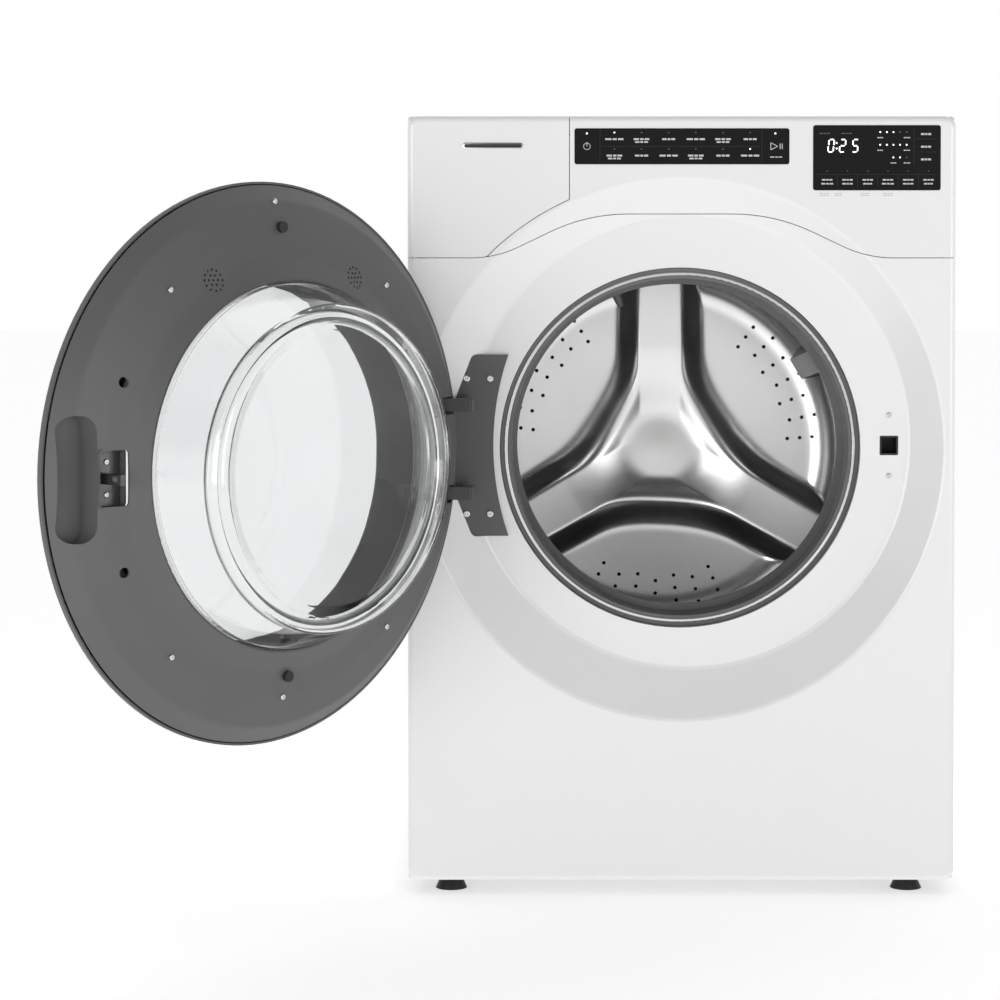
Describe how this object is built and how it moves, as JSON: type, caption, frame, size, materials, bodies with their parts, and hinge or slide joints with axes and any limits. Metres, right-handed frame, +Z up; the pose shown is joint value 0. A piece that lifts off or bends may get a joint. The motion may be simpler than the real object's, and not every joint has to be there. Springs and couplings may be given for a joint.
{
  "type": "front load washing machine",
  "caption": "Free-standing front load washing machine with its round glass-bowl door open, drawer, tilted drum, belt drive, pump and levelling feet.",
  "frame": {"origin": "on the floor under the middle of the cabinet, with the feet screwed in", "axes": "+X to the right of someone facing the door, +Y to the back, +Z up; the front face looks along -Y and the door is stored open"},
  "size_m": [1.0702, 1.2224, 0.981],
  "materials": {
    "white_enamel": "gloss",
    "white_plastic": "gloss",
    "grey_plastic": "satin",
    "dark_plastic": "satin",
    "panel_glass": "gloss",
    "clear_glass": "gloss",
    "tinted_glass": "gloss",
    "stainless": "brushed",
    "steel": "satin",
    "galvanised": "satin",
    "grey_rubber": "matte",
    "black_rubber": "matte",
    "tub_plastic": "satin",
    "concrete": "matte",
    "alloy": "cast"
  },
  "bodies": {
    "cabinet": {"front_panel": "white_enamel", "console_fascia": "white_plastic", "touch_panel": "panel_glass", "display_panel": "panel_glass", "control_box": "tub_plastic", "dispenser_housing": "tub_plastic", "hinge_plate": "grey_plastic", "cabinet_screws": "steel", "door_lock": "dark_plastic", "gasket_bellows": "grey_rubber", "gasket_band": "steel", "gasket_nozzle": "grey_plastic", "damper_cylinders": "dark_plastic", "suspension_springs": "steel", "drain_pump": "dark_plastic", "sump_hose": "black_rubber", "drain_hose": "grey_rubber", "inlet_valves": "dark_plastic", "fill_hoses": "black_rubber", "side_panel_left": "white_enamel", "side_panel_right": "white_enamel", "rear_panel": "galvanised", "rear_cover": "galvanised", "cord_gland": "black_rubber", "top_panel": "white_enamel", "base_frame": "galvanised", "foot_locknuts": "steel"},
    "door": {"door_inner_trim": "grey_plastic", "door_outer_shell": "grey_plastic", "door_window": "tinted_glass", "door_glass_bowl": "clear_glass", "door_strike": "steel", "door_screws": "steel", "door_bumpers": "black_rubber", "hinge_pins": "steel", "hinge_brackets": "steel"},
    "drawer": {"drawer_front": "white_plastic", "drawer_tray": "white_plastic"},
    "tub": {"tub_front": "tub_plastic", "tub_rear": "tub_plastic", "tub_bolts": "steel", "counterweight_upper": "concrete", "counterweight_lower": "concrete", "drum_bearings": "steel", "shaft_seal": "black_rubber", "damper_rods": "steel", "heater": "steel", "drive_belt": "black_rubber", "motor_housing": "alloy"},
    "drum": {"drum_shell": "stainless", "drum_end": "stainless", "drum_baffles": "grey_plastic", "drum_spider": "alloy", "drum_pulley": "alloy"},
    "motor_rotor": {"motor_rotor": "steel"},
    "pump_impeller": {"pump_impeller": "dark_plastic"},
    "foot_front_left": {"foot_front_left": "black_rubber"},
    "foot_front_right": {"foot_front_right": "black_rubber"},
    "foot_back_left": {"foot_back_left": "black_rubber"},
    "foot_back_right": {"foot_back_right": "black_rubber"}
  },
  "joints": [
    {"name": "door_hinge", "type": "hinge", "parent": "cabinet", "child": "door", "pos_m": [-0.302, -0.3765, 0.5635], "axis": [0, 0, 1], "range_deg": [0, 132]},
    {"name": "drawer_slide", "type": "slide", "parent": "cabinet", "child": "drawer", "axis": [0, -1, 0], "range_m": [0, 0.21]},
    {"name": "tub_float", "type": "slide", "parent": "cabinet", "child": "tub", "axis": [0, 0, 1], "range_m": [-0.008, 0.008], "stiffness_N_per_m": 60000, "springref_m": 0.00701, "deforming": ["suspension_springs", "gasket_bellows", "sump_hose"]},
    {"name": "drum_spin", "type": "hinge", "parent": "tub", "child": "drum", "pos_m": [0, -0.24, 0.5635], "axis": [0, 0.9962, -0.0872], "continuous": true},
    {"name": "motor_spin", "type": "hinge", "parent": "tub", "child": "motor_rotor", "pos_m": [-0.1, 0.20549, 0.14809], "axis": [0, 0.9962, -0.0872], "continuous": true},
    {"name": "pump_spin", "type": "hinge", "parent": "cabinet", "child": "pump_impeller", "pos_m": [0.215, -0.26, 0.1], "axis": [0, 1, 0], "continuous": true},
    {"name": "foot_front_left_height", "type": "slide", "parent": "cabinet", "child": "foot_front_left", "axis": [0, 0, -1], "range_m": [0, 0.02]},
    {"name": "foot_front_right_height", "type": "slide", "parent": "cabinet", "child": "foot_front_right", "axis": [0, 0, -1], "range_m": [0, 0.02]},
    {"name": "foot_back_left_height", "type": "slide", "parent": "cabinet", "child": "foot_back_left", "axis": [0, 0, -1], "range_m": [0, 0.02]},
    {"name": "foot_back_right_height", "type": "slide", "parent": "cabinet", "child": "foot_back_right", "axis": [0, 0, -1], "range_m": [0, 0.02]}
  ],
  "couplings": [
    {"joint": "motor_spin", "follows": "drum_spin", "ratio": 10}
  ]
}
